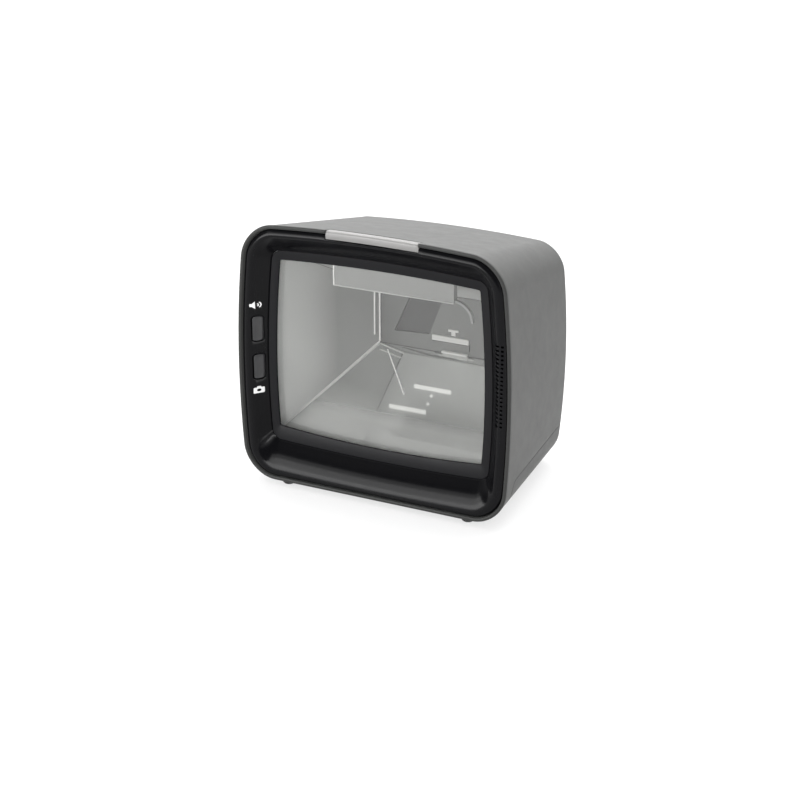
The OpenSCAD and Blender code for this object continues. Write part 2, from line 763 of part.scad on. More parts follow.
// Modular jack whose mouth faces back, with a latch channel under the plug
socket_y = 73;
socket_h = 12;
latch_hw = 3;
module modular_jack(x, w, mouth) difference() {
  block([x - w / 2, socket_y, board_top], [x + w / 2, socket_end, board_top + socket_h]);
  block([x - mouth / 2, socket_y + 3, board_top + 3.6],
    [x + mouth / 2, socket_end + 1, board_top + socket_h - 1.6]);
  block([x - latch_hw, socket_y + 7, board_top + 1],
    [x + latch_hw, socket_end + 1, board_top + 4]);
}

module host_socket() color([0.1, 0.1, 0.11]) seated() modular_jack(host_x, 16, 11.8);
module aux_socket() color([0.1, 0.1, 0.11]) seated() modular_jack(aux_x, 13.2, 9.8);

// Flat cable from the main board's edge up to the imager board
module ribbon_cable() color([0.85, 0.84, 0.78]) seated()
  rotate([90, 0, 90]) translate([0, 0, -24]) linear_extrude(12) polygon([
    [69, board_top], [69, board_top + 0.4], [85.6, 40], [85.6, 72], [82.7, 72],
    [82.7, 71.6], [85.2, 71.6], [85.2, 40.1], [68.6, board_top]]);

// ---- fixings and feet --------------------------------------------------

module mount_inserts() color([0.8, 0.62, 0.28]) seated()
  for (s = [-1, 1]) translate([s * insert_spacing / 2, insert_y, 0])
    difference() {
      cylinder(r = insert_r, h = insert_len);
      translate([0, 0, -1]) cylinder(r = insert_hole_r, h = insert_len + 2);
    }

module cover_screws() color([0.6, 0.6, 0.62]) seated()
  for (p = post_fix) translate([p.x, p.y, 0]) {
    translate([0, 0, screw_head_z - 2]) cylinder(r = screw_head_r - 0.2, h = 2);
    translate([0, 0, screw_head_z]) cylinder(r = post_bore - 0.1, h = 10);
  }

module board_screws() color([0.6, 0.6, 0.62]) seated()
  for (p = board_fix) translate([p.x, p.y, board_top]) {
    cylinder(r = 2.4, h = 1.6);
    translate([0, 0, -4.8]) cylinder(r = 1.1, h = 5);
  }

module chassis_screws() color([0.6, 0.6, 0.62]) seated()
  for (p = ear_fix) translate([p.x, 0, p.y]) {
    rod_y(2.5, chamber_y0, chamber_y0 + 1.8);
    rod_y(1.1, 7.3, chamber_y0 + 0.5);
  }

module feet(pos, r) for (s = [-1, 1]) translate([s * pos.x, pos.y, -foot_h]) {
  cylinder(r1 = r - 0.6, r2 = r, h = 0.6);
  translate([0, 0, 0.6]) cylinder(r = r, h = foot_h + foot_recess - 0.6);
}
module front_feet() color([0.06, 0.06, 0.06]) seated()
  feet(front_foot_pos, front_foot_r);
module rear_feet() color([0.06, 0.06, 0.06]) seated()
  feet(rear_foot_pos, rear_foot_r);

// ---- nodes -------------------------------------------------------------

rear_housing();
bottom_cover();
front_bezel();
window_frame();
window_seal();
scan_window();
status_light_bar();
status_led_board();
status_leds();
volume_button();
snapshot_button();
volume_switch_plunger();
snapshot_switch_plunger();
switch_bodies();
switch_board();
speaker_frame();
speaker_cone();
speaker_magnet();
speaker_seal();
optical_chassis();
left_mirror();
right_mirror();
lower_mirror();
ceiling_panel();
camera_panel();
camera_filter();
upper_light_rail();
light_diffusers();
illumination_board();
illumination_leds();
lens_holder();
lens_barrel();
camera_lens();
imager_board();
image_sensor();
main_board();
processor_shield();
board_chips();
board_capacitors();
host_socket();
aux_socket();
ribbon_cable();
mount_inserts();
cover_screws();
board_screws();
chassis_screws();
front_feet();
rear_feet();
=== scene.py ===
"""Looks of a countertop presentation barcode scanner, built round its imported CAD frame.

Lengths in the helpers are millimetres in the part's local axes: X to the viewer's right,
Y back from the bezel's outer edge, Z up from the shell's underside. place() and at() turn
them into metres in the frame.
"""

import math

import bpy
import bmesh
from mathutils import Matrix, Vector
from mathutils.bvhtree import BVHTree


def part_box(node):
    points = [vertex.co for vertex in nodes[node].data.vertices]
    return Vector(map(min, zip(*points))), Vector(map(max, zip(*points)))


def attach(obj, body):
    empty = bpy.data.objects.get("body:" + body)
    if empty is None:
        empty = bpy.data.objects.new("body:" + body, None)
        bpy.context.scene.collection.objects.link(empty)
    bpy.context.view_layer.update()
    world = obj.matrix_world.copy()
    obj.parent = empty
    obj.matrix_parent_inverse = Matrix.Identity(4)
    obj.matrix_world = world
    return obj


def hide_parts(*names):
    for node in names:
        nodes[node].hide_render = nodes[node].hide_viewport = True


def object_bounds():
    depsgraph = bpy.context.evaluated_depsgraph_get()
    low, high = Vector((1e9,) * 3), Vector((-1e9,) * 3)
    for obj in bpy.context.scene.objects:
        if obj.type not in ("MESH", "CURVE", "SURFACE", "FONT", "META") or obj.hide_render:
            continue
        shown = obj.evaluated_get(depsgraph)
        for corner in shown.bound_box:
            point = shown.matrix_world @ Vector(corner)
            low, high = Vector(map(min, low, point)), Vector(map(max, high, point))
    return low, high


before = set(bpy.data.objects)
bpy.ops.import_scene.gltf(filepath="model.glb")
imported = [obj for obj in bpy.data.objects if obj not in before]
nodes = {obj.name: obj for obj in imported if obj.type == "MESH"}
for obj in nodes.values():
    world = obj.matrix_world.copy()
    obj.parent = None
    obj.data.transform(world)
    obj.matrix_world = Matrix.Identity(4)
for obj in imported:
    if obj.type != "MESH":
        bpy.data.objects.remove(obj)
cad_low, cad_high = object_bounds()

# ---- the part's dimensions ------------------------------------------------

RIM_PROUD, REAR_ROUND, WALL = 1.4, 6.1, 2.0
BODY_W, REAR_W, SHELL_H, REAR_H = 152.0, 134.0, 139.3, 121.0
FRONT_R, REAR_R = 17.5, 14.5
DEPTH = (cad_high.y - cad_low.y) * 1000
REAR_Y, BACK_Y = DEPTH - RIM_PROUD - REAR_ROUND, DEPTH - RIM_PROUD
Y0 = cad_low.y + RIM_PROUD / 1000
Z0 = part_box("bottom_cover")[0].z

# Sagitta rates of the bowed edges, and the height about which the sides bow
BOW_MID, TOP_BOW = 60.0, 0.00057
SHELL_BOW_FRONT, SHELL_BOW_REAR = 0.00085, 0.0011
WINDOW_SIDE_BOW, WINDOW_TOP_BOW, WINDOW_BOT_BOW = 0.00095, 0.0005, 0.0008

# Half width, top and bottom of the window, of the opening round its frame and of the bezel
WINDOW = (58.3, 118.9, 24.8)
GROOVE = (62.9, 124.2, 18.2)
RIM = (73.85, 137.15, 2.15)
RIM_GAP = 0.15
GROOVE_R, GROOVE_BOW = 5.0, 0.0004
FRAME_FRONT, FRAME_BACK = 7.0, 8.2

# Base cover, its fixings and the feet
COVER_H, COVER_Y, COVER_R, COVER_FLOOR = 20.0, 9.2, 5.0, 2.4
POSTS = ((-56, 30), (56, 30), (-50, 76), (50, 76))
POST_R, POST_BORE, SCREW_WELL_R, SCREW_HEAD_Z = 3.5, 1.6, 2.9, 15
INSERTS = ((-35, 21), (35, 21))
INSERT_R, INSERT_BOSS_R, INSERT_H = 2.3, 4.2, 5
FRONT_FEET, FRONT_FOOT_R = ((-51.4, 5.5), (51.4, 5.5)), 3.3
REAR_FEET, REAR_FOOT_R = ((-36, 84), (36, 84)), 5.0
FOOT_RECESS = 0.6
BAY_LEFT, BAY_RIGHT, BAY_FRONT, BAY_BOT = -11, 29, 86.5, 5.4

# Keys, the bezel's slope under them, the speaker's slots, the status light and the gaps
BUTTON_X, BUTTONS = 66.05, {"volume": 80.6, "snapshot": 60.0}
BUTTON_HALF_W, BUTTON_HALF_H, BUTTON_R, BUTTON_GAP = 1.8, 6.55, 1.3, 0.45
FLANGE_FRONT, FLANGE_BACK, FLANGE_SIDE = 9.7, 10.5, 0.75
SLOPE_START, SLOPE_FALL, SLOPE_BOW = 68.0, 1.32, 0.0009
GRILLE_Z, GRILLE_ROWS, GRILLE_PITCH = 73.3, 20, 2.15
GRILLE_COLUMNS, SLOT_H, SLOT_R = ((66.6, 2.6), (70.1, 1.4)), 1.0, 0.3
LIGHT_HW, LIGHT_X, LIGHT_BOT, LIGHT_FOOT_BOT = 25.2, 1.0, 134, 129.2
SEAM_GAP, PIECE_GAP, ROUNDING = 0.22, 0.12, 0.22


def place(x, y, z):
    """A local point in millimetres as a point of the frame in metres."""
    return Vector((x / 1000, Y0 + y / 1000, Z0 + z / 1000))


def at(x, y, z):
    """The same point, kept inside the CAD box."""
    return Vector([min(max(v, low), high) for v, low, high in zip(place(x, y, z), cad_low, cad_high)])


# ---- outlines and meshes --------------------------------------------------


def rounded(hw, top, bot, r, corner=16, edge=26):
    """Rounded rectangle in X and Z, anticlockwise, as a list of points."""
    x, hi, lo = hw - r, top - r, bot + r
    points = []
    for cx, cz, a0, end in (
        (x, hi, 0, (-x, top)), (-x, hi, 90, (-hw, lo)), (-x, lo, 180, (x, bot)), (x, lo, 270, (hw, hi)),
    ):
        for i in range(corner + 1):
            a = math.radians(a0 + 90 * i / corner)
            points.append((cx + r * math.cos(a), cz + r * math.sin(a)))
        px, pz = points[-1]
        for i in range(1, edge + 1):
            t = i / (edge + 1)
            points.append((px + (end[0] - px) * t, pz + (end[1] - pz) * t))
    return points


def bowed(hw, top, bot, r, side, up, down=0.0):
    """The rounded rectangle with its sides, top and bottom bowed outwards."""
    out = []
    for x, z in rounded(hw, top, bot, r):
        dz = z - BOW_MID
        out.append((
            x - side * dz * dz * x / hw,
            z - up * x * x * max(0, dz) / (top - BOW_MID) + down * x * x * max(0, -dz) / (BOW_MID - bot),
        ))
    return out


def shell_row(y, inset):
    """Section of the shell at depth y, moved in by inset."""
    s = min(1, max(0, (y + RIM_PROUD) / (REAR_Y + RIM_PROUD)))
    return bowed(
        (BODY_W + (REAR_W - BODY_W) * s) / 2 - inset,
        SHELL_H + (REAR_H - SHELL_H) * s - inset,
        inset,
        max(2, FRONT_R + (REAR_R - FRONT_R) * s - inset),
        SHELL_BOW_FRONT + (SHELL_BOW_REAR - SHELL_BOW_FRONT) * s,
        TOP_BOW,
    )


def window_row(grow):
    return bowed(WINDOW[0] + grow, WINDOW[1] + grow, WINDOW[2] - grow, 1 + grow,
                 WINDOW_SIDE_BOW, WINDOW_TOP_BOW, WINDOW_BOT_BOW)


def raised(outline, y):
    return [at(x, y, z) for x, z in outline]


def bezel_row(y, hw, top, bot, r, down):
    """Row of the bezel at depth y, whose sides bow as the shell's do outside and as the
    window's do inside."""
    t = (hw - GROOVE[0]) / (RIM[0] + RIM_GAP - GROOVE[0])
    side = WINDOW_SIDE_BOW + (SHELL_BOW_FRONT - WINDOW_SIDE_BOW) * t
    return raised(bowed(hw, top, bot, r, side, TOP_BOW, down), y)


def groove_row(y, grow, r):
    """Row round the window frame's opening, grown by grow."""
    return bezel_row(y, GROOVE[0] + grow, GROOVE[1] + grow, GROOVE[2] - grow, r, GROOVE_BOW)


def linked(name, data):
    """A new object in the scene."""
    obj = bpy.data.objects.new(name, data)
    bpy.context.scene.collection.objects.link(obj)
    return obj


def object_from(name, bm):
    """An object from a bmesh, which is freed."""
    mesh = bpy.data.meshes.new(name)
    bm.to_mesh(mesh)
    bm.free()
    return linked(name, mesh)


def new_object(name, verts, faces):
    mesh = bpy.data.meshes.new(name)
    mesh.from_pydata(verts, [], faces)
    bm = bmesh.new()
    bm.from_mesh(mesh)
    bmesh.ops.recalc_face_normals(bm, faces=bm.faces)
    bm.to_mesh(mesh)
    bm.free()
    return linked(name, mesh)


def rows_object(name, rows, ring=False):
    """A closed surface through rows of equal length: a ring joins its last row to its first."""
    n, m = len(rows[0]), len(rows)
    faces = []
    for i in range(m if ring else m - 1):
        k = (i + 1) % m
        for j in range(n):
            following = (j + 1) % n
            faces.append((i * n + j, i * n + following, k * n + following, k * n + j))
    if not ring:
        faces.append(tuple(range(n)))
        faces.append(tuple((m - 1) * n + j for j in range(n)))
    return new_object(name, [p for row in rows for p in row], faces)


def cut(obj, cutter, how="DIFFERENCE", keep=False):
    """Applies a boolean to obj and drops the cutter."""
    mod = obj.modifiers.new("cut", "BOOLEAN")
    mod.operation, mod.object, mod.solver = how, cutter, "EXACT"
    apply_modifiers(obj)
    if not keep:
        bpy.data.objects.remove(cutter)
    return obj


def apply_modifiers(obj):
    """Replaces the mesh by its modified form."""
    bpy.context.view_layer.update()
    evaluated = obj.evaluated_get(bpy.context.evaluated_depsgraph_get())
    mesh = bpy.data.meshes.new_from_object(evaluated)
    old = obj.data
    obj.modifiers.clear()
    obj.data = mesh
    bpy.data.meshes.remove(old)
    mesh.name = obj.name


def bevel(obj, width, angle=35):
    mod = obj.modifiers.new("bevel", "BEVEL")
    mod.width, mod.segments = width / 1000, 2
    mod.limit_method, mod.angle_limit = "ANGLE", math.radians(angle)
    mod.use_clamp_overlap = True
    apply_modifiers(obj)


def smooth(obj, angle=32):
    obj.data.polygons.foreach_set("use_smooth", [True] * len(obj.data.polygons))
    obj.data.set_sharp_from_angle(angle=math.radians(angle))


def box_object(name, low, high):
    """A block between two opposite corners."""
    (x0, y0, z0), (x1, y1, z1) = low, high
    corners = [(x, y, z) for x in (x0, x1) for y in (y0, y1) for z in (z0, z1)]
    faces = [(0, 1, 3, 2), (4, 6, 7, 5), (0, 4, 5, 1), (2, 3, 7, 6), (0, 2, 6, 4), (1, 5, 7, 3)]
    return new_object(name, [place(*c) for c in corners], faces)


def joined(name, objects):
    """One object from several."""
    bm = bmesh.new()
    for o in objects:
        bm.from_mesh(o.data)
        bpy.data.objects.remove(o)
    return object_from(name, bm)


def prism(name, outline, x0, x1):
    """An outline in Y and Z drawn out along X."""
    return rows_object(name, [[place(x, y, z) for y, z in outline] for x in (x0, x1)])


def through(outline):
    """A tool that cuts an outline in X and Z through the bezel."""
    return rows_object("through", [[place(x, y, z) for x, z in outline] for y in (-5, 15)])


def pegs(places, r, low, high, sides=32):
    """Round tools or posts along Z at several places."""
    circle = [2 * math.pi * i / sides for i in range(sides)]
    return joined("pegs", [
        rows_object("peg", [
            [place(x + r * math.cos(a), y + r * math.sin(a), z) for a in circle]
            for z in (low, high)])
        for x, y in places])


def finish_piece(obj, mat, body="scanner", stands_for=()):
    """Gives a piece its material and its body, and hides the CAD nodes it stands for."""
    obj.data.materials.clear()
    obj.data.materials.append(mat)
    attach(obj, body)
    if stands_for:
        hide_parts(*stands_for)


# ---- materials ------------------------------------------------------------

# Noise scales of the colour drift and of the uneven roughness, per metre
MOTTLE_SCALE, ROUGH_SCALE = 55, 140


def material(name, colour, rough=0.5, metal=0.0, grain=0.0, grain_size=0.5, mottle=0.0,
             rough_vary=0.0, painted_shade=None, haze=None, glow=None, **sockets):
    """A moulded or finished surface: colour that drifts a little, uneven roughness and a
    bump of fine grain. grain and grain_size are in millimetres. painted_shade is painted
    shade: the colour's share at two local depths, as (y, share, y, share), and needs mottle.
    haze is the metallic value likewise, and glow is painted light: the emission at two local heights."""
    mat = bpy.data.materials.new(name)
    mat.use_nodes = True
    tree = mat.node_tree
    shader = tree.nodes["Principled BSDF"]
    coords = tree.nodes.new("ShaderNodeTexCoord")

    def noise(scale, detail, roughness=0.55):
        n = tree.nodes.new("ShaderNodeTexNoise")
        n.inputs["Scale"].default_value = scale
        n.inputs["Detail"].default_value = detail
        n.inputs["Roughness"].default_value = roughness
        tree.links.new(coords.outputs["Object"], n.inputs["Vector"])
        return n.outputs["Fac"]

    def remapped(source, low, high, to_low, to_high):
        r = tree.nodes.new("ShaderNodeMapRange")
        for key, value in zip(("From Min", "From Max", "To Min", "To Max"), (low, high, to_low, to_high)):
            r.inputs[key].default_value = value
        tree.links.new(source, r.inputs["Value"])
        return r.outputs["Result"]

    def along(axis, origin, stops):
        split = tree.nodes.new("ShaderNodeSeparateXYZ")
        tree.links.new(coords.outputs["Object"], split.inputs["Vector"])
        near, near_value, far, far_value = stops
        return remapped(split.outputs[axis], origin + near / 1000, origin + far / 1000,
                        near_value, far_value)

    if mottle:
        ramp = tree.nodes.new("ShaderNodeMix")
        ramp.data_type = "RGBA"
        ramp.inputs["A"].default_value = (*[c * (1 - mottle) for c in colour], 1)
        ramp.inputs["B"].default_value = (*[min(1, c * (1 + mottle)) for c in colour], 1)
        tree.links.new(remapped(noise(MOTTLE_SCALE, 5), 0.3, 0.7, 0, 1), ramp.inputs["Factor"])
        tree.links.new(ramp.outputs["Result"], shader.inputs["Base Color"])
    else:
        shader.inputs["Base Color"].default_value = (*colour, 1)
    # Painted shade: the colour is scaled between two local depths.
    if painted_shade:
        scale = tree.nodes.new("ShaderNodeVectorMath")
        scale.operation = "SCALE"
        tree.links.new(ramp.outputs["Result"], scale.inputs["Vector"])
        tree.links.new(along("Y", Y0, painted_shade), scale.inputs["Scale"])
        tree.links.new(scale.outputs["Vector"], shader.inputs["Base Color"])
    shader.inputs["Metallic"].default_value = metal
    if haze:
        tree.links.new(along("Y", Y0, haze), shader.inputs["Metallic"])
    # Painted light: emission that changes with height, on a part that is no lamp.
    if glow:
        tree.links.new(along("Z", Z0, glow), shader.inputs["Emission Strength"])
    if rough_vary:
        uneven = remapped(noise(ROUGH_SCALE, 6, 0.65), 0.3, 0.7, rough - rough_vary, rough + rough_vary)
        tree.links.new(uneven, shader.inputs["Roughness"])
    else:
        shader.inputs["Roughness"].default_value = rough
    if grain:
        bump = tree.nodes.new("ShaderNodeBump")
        bump.inputs["Strength"].default_value = 1.0
        bump.inputs["Distance"].default_value = grain / 1000
        tree.links.new(noise(1000 / grain_size, 2.5, 0.6), bump.inputs["Height"])
        tree.links.new(bump.outputs["Normal"], shader.inputs["Normal"])
    for key, value in sockets.items():
        shader.inputs[key.replace("_", " ")].default_value = value
    return mat


def glass_material(name, tint, ior=1.45):
    """A clear plate that lets light straight through and reflects by its angle."""
    mat = bpy.data.materials.new(name)
    mat.use_nodes = True
    tree = mat.node_tree
    tree.nodes.remove(tree.nodes["Principled BSDF"])
    clear = tree.nodes.new("ShaderNodeBsdfTransparent")
    clear.inputs["Color"].default_value = (*tint, 1)
    gloss = tree.nodes.new("ShaderNodeBsdfGlossy")
    gloss.inputs["Roughness"].default_value = 0.02
    fresnel = tree.nodes.new("ShaderNodeFresnel")
    fresnel.inputs["IOR"].default_value = ior
    mix = tree.nodes.new("ShaderNodeMixShader")
    tree.links.new(fresnel.outputs["Fac"], mix.inputs["Fac"])
    tree.links.new(clear.outputs["BSDF"], mix.inputs[1])
    tree.links.new(gloss.outputs["BSDF"], mix.inputs[2])
    tree.links.new(mix.outputs["Shader"], tree.nodes["Material Output"].inputs["Surface"])
    return mat


# The housing's colour is darkened over the rim's front lip, as painted shade.
HOUSING = material("housing_plastic", (0.062, 0.063, 0.061), 0.46, grain=0.03, grain_size=0.45,
                   mottle=0.02, rough_vary=0.03, painted_shade=(-1.3, 0.4, -0.3, 1), Specular_IOR_Level=0.2)
COVER = material("cover_plastic", (0.062, 0.063, 0.061), 0.48, grain=0.03, grain_size=0.45,
                 mottle=0.02, rough_vary=0.03, Specular_IOR_Level=0.2)
BEZEL = material("bezel_gloss", (0.003, 0.003, 0.0036), 0.16, grain=0.002, grain_size=3.0,
                 rough_vary=0.03, Specular_IOR_Level=0.11)
FRAME = material("frame_satin", (0.006, 0.006, 0.007), 0.4, grain=0.02, grain_size=0.3, rough_vary=0.05,
                 Specular_IOR_Level=0.12)
RUBBER = material("black_rubber", (0.012, 0.012, 0.012), 0.75, grain=0.04, grain_size=0.4, rough_vary=0.08)
LIGHT = material("milky_light_guide", (0.185, 0.182, 0.178), 0.35, mottle=0.03, grain=0.005,
                 grain_size=1.2, rough_vary=0.05)
BUTTON = material("key_plastic", (0.016, 0.016, 0.0175), 0.42, grain=0.02, grain_size=0.3, mottle=0.08,
                  rough_vary=0.06)
ICON = material("icon_print", (0.75, 0.75, 0.75), 0.5, grain=0.004, grain_size=0.2, mottle=0.03)
# The side mirrors' colour falls from the chamber's front to its rear, as painted shade.
SIDE_MIRROR = material("side_mirror", (0.92, 0.93, 0.92), 0.3, metal=0.1, mottle=0.01,
                       painted_shade=(18, 1.05, 46, 0.42))
# The lower mirror's colour is darker towards its front, as painted shade; haze only sets how metallic it
# is.
FLOOR_MIRROR = material("lower_mirror", (0.86, 0.87, 0.86), 0.05, mottle=0.01,
                        haze=(26, 0.42, 33.5, 0.86), painted_shade=(26, 0.8, 33.5, 1))
EDGE = material("ground_glass_edge", (0.95, 0.95, 0.94), 0.4, grain=0.01, grain_size=0.3, mottle=0.05)
RAIL = material("rail_plastic", (0.25, 0.254, 0.25), 0.4, grain=0.015, grain_size=0.5, mottle=0.03,
                rough_vary=0.05)
CEILING = material("ceiling_plastic", (0.48, 0.484, 0.48), 0.45, grain=0.015, grain_size=0.5, mottle=0.03,
                   rough_vary=0.05)
PANEL = material("panel_plastic", (0.13, 0.133, 0.13), 0.4, grain=0.015, grain_size=0.5, mottle=0.03,
                 rough_vary=0.05)
FILTER = material("camera_filter", (0.055, 0.056, 0.056), 0.3, grain=0.004, grain_size=1.0, mottle=0.04)
# The diffuser strips glow, more strongly higher up, as painted light: they are no lit lamps.
PAINTED_GLOW_DIFFUSER = material("diffuser", (0.3, 0.3, 0.295), 0.4, grain=0.01, grain_size=0.8, mottle=0.02,
                    glow=(80, 0.18, 96, 0.7), Emission_Color=(1, 1, 0.98, 1))
CHASSIS = material("chassis_plastic", (0.03, 0.03, 0.032), 0.55, grain=0.03, grain_size=0.5, mottle=0.08,
                   rough_vary=0.05)
BOARD = material("solder_mask", (0.012, 0.1, 0.04), 0.35, grain=0.012, grain_size=0.8, mottle=0.15,
                 rough_vary=0.08)
LED = material("led_resin", (0.8, 0.76, 0.45), 0.25, grain=0.006, grain_size=0.6, mottle=0.1)
PLUNGER = material("plunger_plastic", (0.35, 0.03, 0.02), 0.4, grain=0.01, grain_size=0.4, mottle=0.06)
STEEL = material("stamped_steel", (0.62, 0.62, 0.63), 0.32, metal=1.0, grain=0.008, grain_size=0.7,
                 mottle=0.05, rough_vary=0.08)
SCREW = material("zinc_screw", (0.55, 0.56, 0.58), 0.3, metal=1.0, grain=0.01, grain_size=0.3,
                 mottle=0.06, rough_vary=0.1)
ALUMINIUM = material("capacitor_can", (0.75, 0.75, 0.76), 0.25, metal=1.0, grain=0.004, grain_size=0.5,
                     mottle=0.03, rough_vary=0.06)
BRASS = material("turned_brass", (0.72, 0.5, 0.2), 0.28, metal=1.0, grain=0.008, grain_size=0.25,
                 mottle=0.08, rough_vary=0.08)
BLACK = material("black_moulding", (0.016, 0.016, 0.017), 0.5, grain=0.02, grain_size=0.4, mottle=0.1,
                 rough_vary=0.06)
CONE = material("paper_cone", (0.06, 0.05, 0.042), 0.8, grain=0.05, grain_size=0.6, mottle=0.2)
CHIP = material("epoxy_chip", (0.014, 0.014, 0.016), 0.5, grain=0.015, grain_size=0.2, mottle=0.1)
RIBBON = material("flat_cable", (0.62, 0.6, 0.5), 0.4, grain=0.01, grain_size=1.0, mottle=0.05)
SENSOR = material("sensor_glass", (0.02, 0.03, 0.04), 0.1, grain=0.001, grain_size=2.0, mottle=0.2)
WINDOW_GLASS = glass_material("window_glass", (0.98, 0.98, 0.975))
LENS_GLASS = glass_material("coated_lens", (0.7, 0.72, 0.85), 1.6)

CAD_MATERIALS = {
    "window_seal": RUBBER, "scan_window": WINDOW_GLASS, "status_led_board": BOARD, "status_leds": LED,
    "volume_switch_plunger": PLUNGER, "snapshot_switch_plunger": PLUNGER, "switch_bodies": STEEL,
    "switch_board": BOARD, "speaker_frame": BLACK, "speaker_cone": CONE, "speaker_magnet": STEEL,
    "speaker_seal": RUBBER, "optical_chassis": CHASSIS, "left_mirror": SIDE_MIRROR,
    "right_mirror": SIDE_MIRROR, "lower_mirror": FLOOR_MIRROR, "ceiling_panel": CEILING,
    "camera_panel": PANEL, "camera_filter": FILTER, "upper_light_rail": RAIL,
    "light_diffusers": PAINTED_GLOW_DIFFUSER, "illumination_board": BOARD, "illumination_leds": LED,
    "lens_holder": BLACK, "lens_barrel": BLACK, "camera_lens": LENS_GLASS, "imager_board": BOARD,
    "image_sensor": SENSOR, "main_board": BOARD, "processor_shield": STEEL, "board_chips": CHIP,
    "board_capacitors": ALUMINIUM, "host_socket": BLACK, "aux_socket": BLACK, "ribbon_cable": RIBBON,
    "mount_inserts": BRASS, "cover_screws": SCREW, "board_screws": SCREW, "chassis_screws": SCREW,
    "front_feet": RUBBER, "rear_feet": RUBBER, "rear_housing": HOUSING, "bottom_cover": COVER,
    "front_bezel": BEZEL, "window_frame": FRAME, "status_light_bar": LIGHT, "volume_button": BUTTON,
    "snapshot_button": BUTTON,
}
for name, obj in nodes.items():
    obj.data.materials.clear()
    obj.data.materials.append(CAD_MATERIALS[name])

# ---- shell ----------------------------------------------------------------

RIM_ROUND = 0.8
# How far the rounded rear edge comes in, and where the flat rear face starts
REAR_INSET, REAR_FACE_INSET = 9.15, 9.9
SHELL_STEPS = 30


def outer_solid():
    """The outside of the shell: rounded rim, straight sides, rounded rear edge."""
    rows = []
    for a in range(0, 91, 18):
        c, s = math.cos(math.radians(a)), math.sin(math.radians(a))
        y = -RIM_PROUD + RIM_ROUND * (1 - c)
        rows.append(raised(shell_row(-RIM_PROUD, RIM_ROUND * (1 - s)), y))
    start = RIM_ROUND - RIM_PROUD
    for i in range(1, SHELL_STEPS + 1):
        y = start + (REAR_Y - start) * i / SHELL_STEPS
        rows.append(raised(shell_row(y, 0), y))
    for a in range(8, 91, 8):
        c, s = math.cos(math.radians(a)), math.sin(math.radians(a))
        rows.append(raised(shell_row(REAR_Y, REAR_INSET * (1 - c)), REAR_Y + REAR_ROUND * s))
    rows.append(raised(shell_row(REAR_Y, REAR_FACE_INSET), BACK_Y))
    return rows_object("outer", rows)


def inner_solid():
    """The room inside the shell, open at the front with a small bevel behind the rim."""
    rows = [
        [place(x, -3, z) for x, z in shell_row(-RIM_PROUD, WALL - 0.6)],
        raised(shell_row(-RIM_PROUD, WALL - 0.6), -RIM_PROUD),
        raised(shell_row(-RIM_PROUD, WALL - 0.15), -RIM_PROUD + 0.25),
        raised(shell_row(-RIM_PROUD, WALL), -RIM_PROUD + 0.7),
    ]
    for y, inset in ((0, WALL), (REAR_Y / 2, WALL), (REAR_Y - 1, WALL), (REAR_Y + 3.1, WALL + 2.5)):
        rows.append(raised(shell_row(min(y, REAR_Y), inset), y))
    rows.append(raised(shell_row(REAR_Y, WALL + 9), BACK_Y - WALL))
    return rows_object("inner", rows)


# Beyond the part, for the tools that cut right through it
FAR_BACK, FAR_SIDE = 110, 90


def cover_outline(grow):
    """Side view of the bottom cover, with its rounded front corner."""
    points = [(FAR_BACK, -5), (FAR_BACK, COVER_H + grow)]
    cy, cz, r = COVER_Y + COVER_R, COVER_H - COVER_R, COVER_R + grow
    for i in range(11):
        a = math.radians(90 + 9 * i)
        points.append((cy + r * math.cos(a), cz + r * math.sin(a)))
    points.append((COVER_Y - grow, -5))
    return points


def light_room(grow):
    """The light bar's room in the rim and the bezel, grown by grow."""
    left, right = LIGHT_X - LIGHT_HW - grow, LIGHT_X + LIGHT_HW + grow
    upper = box_object("room", (left, -4, LIGHT_BOT - grow), (right, 4 + grow, 142))
    foot = box_object("foot", (left, 3.9 - grow, LIGHT_FOOT_BOT - grow), (right, 5 + grow, 136.4))
    return cut(upper, foot, "UNION")


shell = outer_solid()
hollow = inner_solid()
cover = shell.copy()
cover.data = shell.data.copy()
bpy.context.scene.collection.objects.link(cover)
cut(shell, hollow, keep=True)
cut(shell, prism("seam", cover_outline(SEAM_GAP), -FAR_SIDE, FAR_SIDE))
cut(shell, light_room(PIECE_GAP))
cut(shell, pegs(FRONT_FEET, FRONT_FOOT_R, -1, FOOT_RECESS))
shell.name = "housing_shell"
bevel(shell, ROUNDING)
smooth(shell)
finish_piece(shell, HOUSING, stands_for=["rear_housing"])

cut(cover, prism("seam", cover_outline(-PIECE_GAP), -FAR_SIDE, FAR_SIDE), "INTERSECT")
cut(hollow, box_object("room", (-FAR_SIDE, COVER_Y + WALL, COVER_FLOOR),
                       (FAR_SIDE, FAR_BACK, COVER_H + 5)), "INTERSECT")
cut(cover, hollow)
cut(cover, box_object("bay", (BAY_LEFT, BAY_FRONT, BAY_BOT), (BAY_RIGHT, FAR_BACK, COVER_H + 10)))
cut(cover, pegs(POSTS, POST_R, COVER_FLOOR - 0.4, COVER_H), "UNION")
cut(cover, pegs(POSTS, SCREW_WELL_R, -1, SCREW_HEAD_Z))
cut(cover, pegs(POSTS, POST_BORE, SCREW_HEAD_Z - 1, COVER_H + 1))
cut(cover, pegs(INSERTS, INSERT_BOSS_R, COVER_FLOOR - 0.4, INSERT_H), "UNION")
cut(cover, pegs(INSERTS, INSERT_R, -1, INSERT_H + 1))
cut(cover, pegs(REAR_FEET, REAR_FOOT_R, -1, FOOT_RECESS))
cover.name = "base_cover"
bevel(cover, ROUNDING)
smooth(cover)
finish_piece(cover, COVER, stands_for=["bottom_cover"])

# ---- bezel ----------------------------------------------------------------


def rim_profile(y, side, top, bot, r, down):
    """Depth, half width, top, bottom, corner radius and chin bow of a row that lies in from
    the bezel's outer edge by side, top and bot."""
    return y, RIM[0] - side, RIM[1] - top, RIM[2] + bot, r, down


